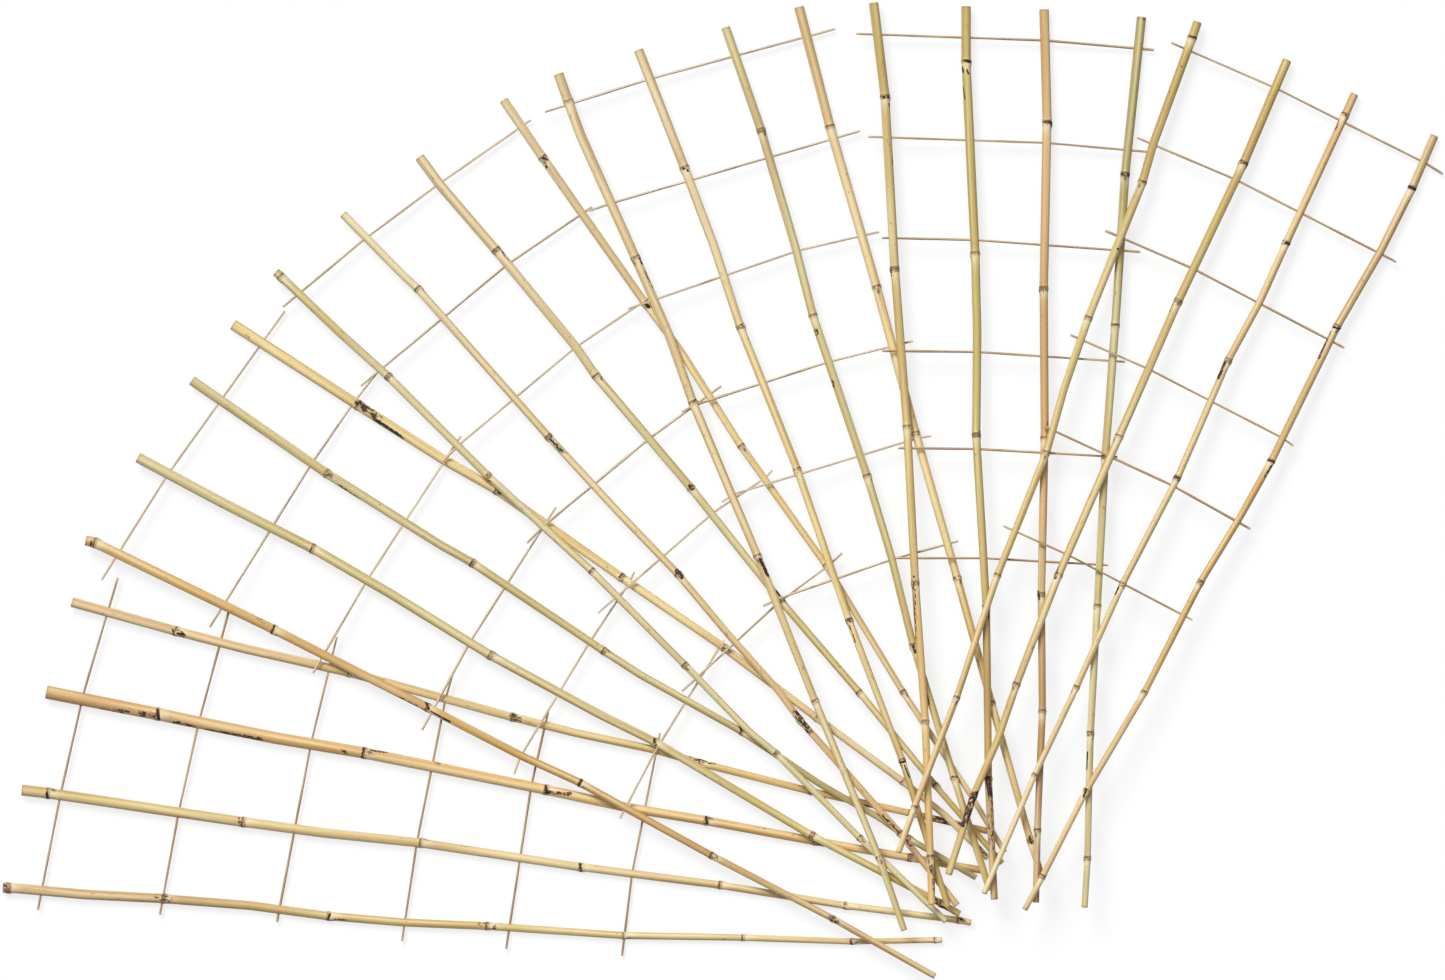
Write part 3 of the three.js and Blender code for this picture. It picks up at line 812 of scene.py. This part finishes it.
# %% The wire
class Wire:
    """An output socket that can be reckoned with."""

    def __init__(self, tree, socket=None):
        self.tree, self.socket = tree, socket

    def node(self, kind, settings, sockets, output=0):
        """Adds a node, makes its settings, then fills its sockets with numbers or wires."""
        made = self.tree.nodes.new("ShaderNode" + kind)
        for name, value in settings.items():
            setattr(made, name, value)
        for name, value in sockets.items():
            if isinstance(value, Wire):
                self.tree.links.new(value.socket, made.inputs[name])
            else:
                made.inputs[name].default_value = value
        return Wire(self.tree, made.outputs[output] if made.outputs else None)

    def math(self, operation, *values):
        return self.node("Math", {"operation": operation}, dict(enumerate(values)))

    def __add__(self, other):
        return self.math("ADD", self, other)

    def __sub__(self, other):
        return self.math("SUBTRACT", self, other)

    def __mul__(self, other):
        return self.math("MULTIPLY", self, other)

    __radd__ = __add__
    __rmul__ = __mul__

    def at_most(self, other):
        return self.math("MINIMUM", self, other)

    def step(self, low, high):
        """A smooth climb from 0 at low to 1 at high."""
        sockets = {"Value": self, "From Min": low, "From Max": high}
        return self.node("MapRange", {"interpolation_type": "SMOOTHSTEP"}, sockets)

    def colour(self, one, other):
        """One colour where this is 0, the other where it is 1."""
        return self.node("Mix", {"data_type": "RGBA"}, {0: self, 6: one, 7: other}, output=2)

    def stretched(self, across, along):
        """A vector scaled for a pattern: so many periods a metre across and along the stem."""
        sockets = {0: self, 1: (across, across, along)}
        return self.node("VectorMath", {"operation": "MULTIPLY"}, sockets)

    def stored(self, attribute, output=2):
        """A measurement read from the mesh: output 1 gives a vector, output 2 a number."""
        settings = {"attribute_type": "GEOMETRY", "attribute_name": attribute}
        return self.node("Attribute", settings, {}, output)

    def noise(self, detail, roughness, shift=0):
        """Soft noise with this as its place, about 0.2 to 0.8."""
        moved = self.node("VectorMath", {"operation": "ADD"}, {0: self, 1: (shift, shift, shift)})
        sockets = {"Vector": moved, "Scale": 1, "Detail": detail, "Roughness": roughness}
        return self.node("TexNoise", {}, sockets)


def shade(red, green, blue):
    """A shade as seen on a screen, 0 to 255, made linear for the shader."""
    seen = np.array([red, green, blue]) / 255
    linear = np.where(seen <= 0.04045, seen / 12.92, ((seen + 0.055) / 1.055) ** 2.4)
    return (*linear.tolist(), 1)


print("straw in linear light:", np.round(shade(231, 204, 146), 3))

# %% [markdown]
# ## Bamboo bark
# Real canes differ: some were cut green, some had yellowed on the stem, some browned in the sun.
# Each gets three tones, for its thick end, its middle and its thin end. The rest is the same for
# all: cloudy patches, long streaks and fibres, the marks at knots and ends, stains with one stroke
# of painted shadow among them, and specks. The skin is waxy, so it is smooth and satin, and rougher
# where it is bruised or cut.

# %% Shades and the tones of each cane
SHADES = {
    "cream": shade(248, 230, 184), "pale": shade(238, 217, 170), "straw": shade(231, 204, 146),
    "butter": shade(244, 217, 148), "peach": shade(243, 213, 157), "sage": shade(220, 209, 155),
    "green": shade(213, 198, 134), "reed": shade(203, 194, 135), "moss": shade(157, 148, 82),
    "lime": shade(219, 206, 108), "hay": shade(217, 190, 118), "olive": shade(199, 178, 98),
    "bronze": shade(197, 171, 84), "rose": shade(238, 205, 156), "tan": shade(217, 174, 114),
    "gold": shade(236, 196, 124), "honey": shade(224, 176, 96), "amber": shade(209, 165, 86),
    "brown": shade(197, 157, 98), "nut": shade(168, 129, 76), "char": shade(44, 23, 9),
    "crust": shade(108, 62, 28), "scab": shade(96, 51, 19), "pith": shade(233, 210, 160),
}
TONES = {
    "trellis_1_cane_a": ("brown", "hay", "straw"), "trellis_1_cane_b": ("hay", "straw", "straw"),
    "trellis_1_cane_c": ("tan", "gold", "honey"), "trellis_1_cane_d": ("rose", "hay", "honey"),
    "trellis_2_cane_a": ("honey", "amber", "brown"), "trellis_2_cane_b": ("sage", "green", "olive"),
    "trellis_2_cane_c": ("sage", "green", "moss"), "trellis_2_cane_d": ("butter", "butter", "pale"),
    "trellis_3_cane_a": ("sage", "sage", "reed"), "trellis_3_cane_b": ("cream", "straw", "tan"),
    "trellis_3_cane_c": ("pale", "green", "olive"), "trellis_3_cane_d": ("cream", "butter", "straw"),
    "trellis_4_cane_a": ("pale", "straw", "green"), "trellis_4_cane_b": ("pale", "butter", "olive"),
    "trellis_4_cane_c": ("sage", "green", "olive"), "trellis_4_cane_d": ("straw", "butter", "hay"),
    "trellis_5_cane_a": ("olive", "hay", "gold"), "trellis_5_cane_b": ("olive", "olive", "nut"),
    "trellis_5_cane_c": ("tan", "tan", "nut"), "trellis_5_cane_d": ("moss", "reed", "sage"),
    "trellis_6_cane_a": ("bronze", "hay", "straw"), "trellis_6_cane_b": ("bronze", "hay", "hay"),
    "trellis_6_cane_c": ("tan", "straw", "pale"), "trellis_6_cane_d": ("brown", "amber", "peach"),
}
BUMP_DEPTH = 0.0003
NOISE_SHIFT = 3.7
GREENISH = ("green", "sage", "olive", "reed")


def blank_material(name):
    """A material with only its output node, and the wire that nodes are added from."""
    material = bpy.data.materials.new(name)
    material.use_nodes = True
    material.node_tree.nodes.clear()
    return material, Wire(material.node_tree)


def wood_surface(start, colour, roughness, height, relief, gloss):
    """The shader of all wood here: its relief and gloss are the same all over a piece."""
    bump = start.node("Bump", {}, {"Strength": relief, "Distance": BUMP_DEPTH, "Height": height})
    sockets = {"Base Color": colour, "Roughness": roughness, "Normal": bump,
               "Specular IOR Level": gloss}
    shader = start.node("BsdfPrincipled", {}, sockets)
    start.node("OutputMaterial", {}, {"Surface": shader})


def dress(node, material):
    """Gives a piece its one material."""
    pieces[node].data.materials.clear()
    pieces[node].data.materials.append(material)


def bamboo(name, tones, shift):
    """Layers from the tones up to the cut wood, each mixed over those before it.

    They are the tones along the cane, joints, age, clouds, streaks, fibres, bloom, scabs, sawn ends,
    bruises, rims, specks, and stains with one stroke of painted shadow among them. The shift moves
    all noise, so no two canes match.
    """
    material, start = blank_material(name)
    cloud = "lime" if tones[1] in GREENISH else "straw"
    butt, middle, foot = (SHADES[tone] for tone in tones)
    mark = start.stored
    straight = mark("straight", output=1)
    clouds = straight.stretched(60, 9).noise(3, 0.55, shift)
    streaks = straight.stretched(230, 6).noise(1, 0.5, shift)
    fibres = straight.stretched(900, 20).noise(1, 0.5, shift)
    grain = straight.stretched(900, 420).noise(4, 0.7, shift)
    share = mark("share") + (clouds - 0.5) * 0.35
    colour = share.step(0.05, 0.5).colour(butt, middle)
    colour = share.step(0.5, 0.92).colour(colour, foot)
    colour = (mark("joint").step(0.4, 1) * 0.2).colour(colour, SHADES["brown"])
    colour = (mark("joint").step(0.4, 0) * 0.2).colour(colour, SHADES["pale"])
    colour = (mark("age") * clouds.step(0.3, 0.65) * 0.5).colour(colour, SHADES["brown"])
    colour = (clouds.step(0.5, 0.7) * 0.4).colour(colour, SHADES[cloud])
    colour = (streaks.step(0.48, 0.68) * 0.4).colour(colour, SHADES["cream"])
    colour = (streaks.step(0.52, 0.3) * 0.5).colour(colour, SHADES["brown"])
    colour = (fibres.step(0.5, 0.25) * 0.15).colour(colour, SHADES["nut"])
    colour = (mark("bloom") * clouds.step(0.1, 0.45) * 0.85).colour(colour, SHADES["cream"])
    eyes = mark("eyes") * 0.5 + straight.stretched(700, 620).noise(2, 0.6, shift)
    eyes = eyes.step(0.8, 0.9)
    colour = (eyes * 0.8).colour(colour, SHADES["crust"])
    colour = (mark("sawn") * 0.55).colour(colour, SHADES["nut"])
    bruise = (mark("bud") * 1.2).at_most(1) * grain.step(0.3, 0.5)
    colour = (bruise * 0.9).colour(colour, SHADES["scab"])
    gaps = straight.stretched(420, 60).noise(2, 0.5, shift).step(0.3, 0.52)
    colour = ((mark("rim") * 1.8).at_most(1) * gaps).colour(colour, SHADES["crust"])
    specks = straight.stretched(300, 120).noise(2, 0.5, shift + 7).step(0.68, 0.74)
    colour = (specks * 0.7).colour(colour, SHADES["nut"])
    # The strokes are stains, and one of them is painted shadow between two canes.
    blotch = mark("stain") * 0.5 + straight.stretched(520, 230).noise(4, 0.65, shift)
    stain = blotch.step(0.89, 0.99)
    colour = (stain * 0.85).colour(colour, SHADES["scab"])
    colour = blotch.step(0.94, 1.04).colour(colour, SHADES["char"])
    pith = straight.stretched(1300, 400).noise(2, 0.5, shift).step(0.45, 0.6)
    cut_wood = (pith * 0.4).colour(SHADES["pith"], SHADES["brown"])
    colour = mark("cut").colour(colour, cut_wood)
    rough = 0.42 + 0.1 * clouds + 0.2 * bruise + 0.3 * mark("cut") + 0.2 * stain
    height = fibres * 0.15 + grain * 0.03 - bruise * 0.4 - stain * 0.3 - eyes * 0.3
    wood_surface(start, colour, rough.at_most(0.9), height, relief=0.15, gloss=0.65)
    return material


for index, (node, tones) in enumerate(TONES.items()):
    material = bamboo(node.replace("cane", "bark"), tones, NOISE_SHIFT * index)
    dress(node, material)
print(len(TONES), "barks of", len(material.node_tree.nodes), "nodes")

# %% [markdown]
# ## Split bamboo
# A rod is the wall of a stem, so it has no bark on three sides: dull, pinkish brown wood with
# straight fibres, darker where the blade tore it, and paler where it was cut to length.

# %% The rods' wood
ROD_SHADES = {
    "tan": shade(184, 150, 114), "skin": shade(208, 178, 138), "sand": shade(208, 184, 152),
    "bone": shade(224, 204, 172), "dark": shade(130, 98, 70), "end": shade(226, 204, 166),
}
PALE_RODS = ("trellis_2", "trellis_3", "trellis_4")


def split_wood(name, wood, skin):
    """Two shades of wood in clouds, then fibres, torn patches and pale ends."""
    material, start = blank_material(name)
    straight = start.stored("straight", output=1)
    clouds = straight.stretched(90, 8).noise(3, 0.6)
    fibres = straight.stretched(1200, 30).noise(2, 0.55)
    colour = clouds.step(0.42, 0.62).colour(ROD_SHADES[wood], ROD_SHADES[skin])
    colour = (fibres.step(0.52, 0.3) * 0.35).colour(colour, ROD_SHADES["dark"])
    torn = straight.stretched(260, 30).noise(3, 0.6, 5).step(0.58, 0.68)
    colour = (torn * 0.55).colour(colour, ROD_SHADES["dark"])
    colour = (start.stored("cut") * 0.7).colour(colour, ROD_SHADES["end"])
    rough = 0.62 + 0.2 * fibres
    height = fibres + torn * -0.4
    wood_surface(start, colour, rough, height, relief=0.25, gloss=0.25)
    return material


tan_wood = split_wood("tan_split_wood", "tan", "skin")
pale_wood = split_wood("pale_split_wood", "sand", "bone")
for node in rods:
    dress(node, pale_wood if node.startswith(PALE_RODS) else tan_wood)
print("split wood has", len(tan_wood.node_tree.nodes), "nodes")

# %% [markdown]
# ## The floor and the light
# The trellises lie on white paper under a white ceiling, beside a window. The paper must look
# white and still take the shadows. So most of its light is its own, seen by the camera and by
# reflections only, and the rest is the light that falls on it, which the shadows take away. Both
# lamps are wide suns. With the sky their levels add up to about 1, at which a colour seen from
# above looks as it is written. The sky is faint, so that the sides of a cane turn dark.

# %% White paper
PAPER = 0.22
PAPER_SIZE = 60
PAPER_GAP = 0.0002


def paper_sheet():
    """A flat square of two by two tiles, just under the lowest cane."""
    across = np.linspace(-PAPER_SIZE / 2, PAPER_SIZE / 2, 3)
    x, y = np.meshgrid(across, across)
    corners = np.stack([x, y, np.full_like(x, -PAPER_GAP)], -1).reshape(-1, 3)
    row = np.arange(2)
    low = (row[:, None] * 3 + row[None, :]).ravel()
    faces = np.stack([low, low + 1, low + 4, low + 3], -1)
    mesh = bpy.data.meshes.new("paper")
    mesh.from_pydata(corners.tolist(), [], faces.tolist())
    return mesh


paper = bpy.data.objects.new("paper", paper_sheet())
bpy.context.scene.collection.objects.link(paper)
paper_material, start = blank_material("white_paper")
seen = [start.node("LightPath", {}, {}, ray) for ray in
        ("Is Camera Ray", "Is Glossy Ray", "Is Transmission Ray")]
glow = start.node("Emission", {}, {"Strength": (seen[0] + seen[1] + seen[2]) * (1 - PAPER)})
matte = start.node("BsdfDiffuse", {}, {"Color": (PAPER, PAPER, PAPER, 1)})
both = start.node("AddShader", {}, {0: glow, 1: matte})
start.node("OutputMaterial", {}, {"Surface": both})
paper.data.materials.append(paper_material)
print("paper is", PAPER_SIZE, "m wide")

# %% Daylight, each lamp with its level, elevation, bearing and spread in degrees
SKY_LEVEL = 0.13
SKY_TINT = (0.97, 0.99, 1.06, 1)
LAMPS = {"window": (0.63, 48, 120, 26), "ceiling": (0.25, 84, 118, 55)}

sky = bpy.data.worlds.new("sky")
bpy.context.scene.world = sky
sky.use_nodes = True
sky.node_tree.nodes.clear()
start = Wire(sky.node_tree)
blue = start.node("Background", {}, {"Color": SKY_TINT, "Strength": SKY_LEVEL})
start.node("OutputWorld", {}, {"Surface": blue})

for name, (level, elevation, bearing, spread) in LAMPS.items():
    lamp_data = bpy.data.lights.new(name, "SUN")
    lamp_data.angle = math.radians(spread)
    lamp_data.energy = level * math.pi / math.sin(math.radians(elevation))
    lamp = bpy.data.objects.new(name, lamp_data)
    lamp.rotation_euler = (0, math.radians(90 - elevation), math.radians(bearing))
    bpy.context.scene.collection.objects.link(lamp)
    print(name, "strength", round(lamp_data.energy, 2))

# %% [markdown]
# ## The camera
# The photograph was taken from straight above and from far away, since no cane shows its side
# more at one edge of the picture than at the other. A long lens, high up, does the same.

# %% Camera
FRAME_WIDTH, FRAME_HEIGHT = 1445, 980
CAMERA_HEIGHT = 25
VIEW_WIDTH = 1.445
SENSOR_WIDTH = 36
view_middle = photo_place((FRAME_WIDTH / 2, FRAME_HEIGHT / 2))

camera_data = bpy.data.cameras.new("camera")
camera_data.sensor_width = SENSOR_WIDTH
camera_data.lens = SENSOR_WIDTH * CAMERA_HEIGHT / VIEW_WIDTH
camera = bpy.data.objects.new("camera", camera_data)
camera.location = (*view_middle, CAMERA_HEIGHT)
bpy.context.scene.collection.objects.link(camera)
bpy.context.scene.camera = camera
bpy.context.scene.view_settings.view_transform = "Standard"
print("a lens of", round(camera_data.lens), "mm,", CAMERA_HEIGHT, "m up")
